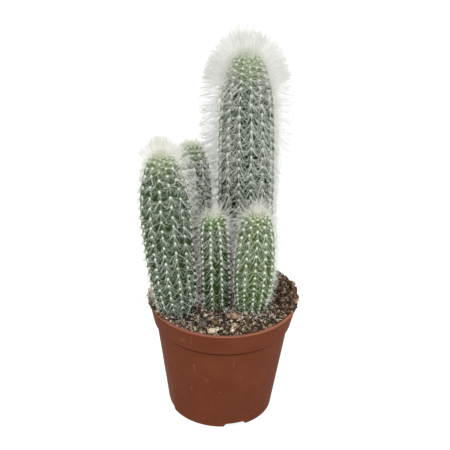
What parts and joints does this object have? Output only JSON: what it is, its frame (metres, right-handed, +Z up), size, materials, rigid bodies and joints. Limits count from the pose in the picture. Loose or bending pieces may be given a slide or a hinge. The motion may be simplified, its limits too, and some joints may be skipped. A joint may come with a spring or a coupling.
{
  "type": "potted silver torch cactus",
  "caption": "Clump of ribbed columnar cactus stems with dense white spines, standing in gritty potting mix in a round tapered plastic nursery pot.",
  "frame": {"origin": "middle of the whole plant's footprint, on the surface that the pot stands on; the pot's axis is a few millimetres to its right", "axes": "+Z up along the tall stem, +X to the right and -Y to the front as the plant is seen in the picture"},
  "size_m": [0.1148, 0.1056, 0.2733],
  "materials": {
    "pot_plastic": "satin",
    "potting_mix": "matte",
    "cactus_skin": "matte",
    "bark": "matte",
    "grey_grit": "matte",
    "pale_grit": "matte",
    "brown_grit": "matte"
  },
  "bodies": {
    "root": {"pot": "pot_plastic", "soil": "potting_mix", "stem_tall": "cactus_skin", "stem_left": "cactus_skin", "stem_back": "cactus_skin", "stem_centre": "cactus_skin", "stem_right": "cactus_skin", "bark_chip": "bark", "grey_stone": "grey_grit", "pumice_lump": "pale_grit", "brown_pebble": "brown_grit", "cream_pebble": "pale_grit"}
  },
  "joints": []
}
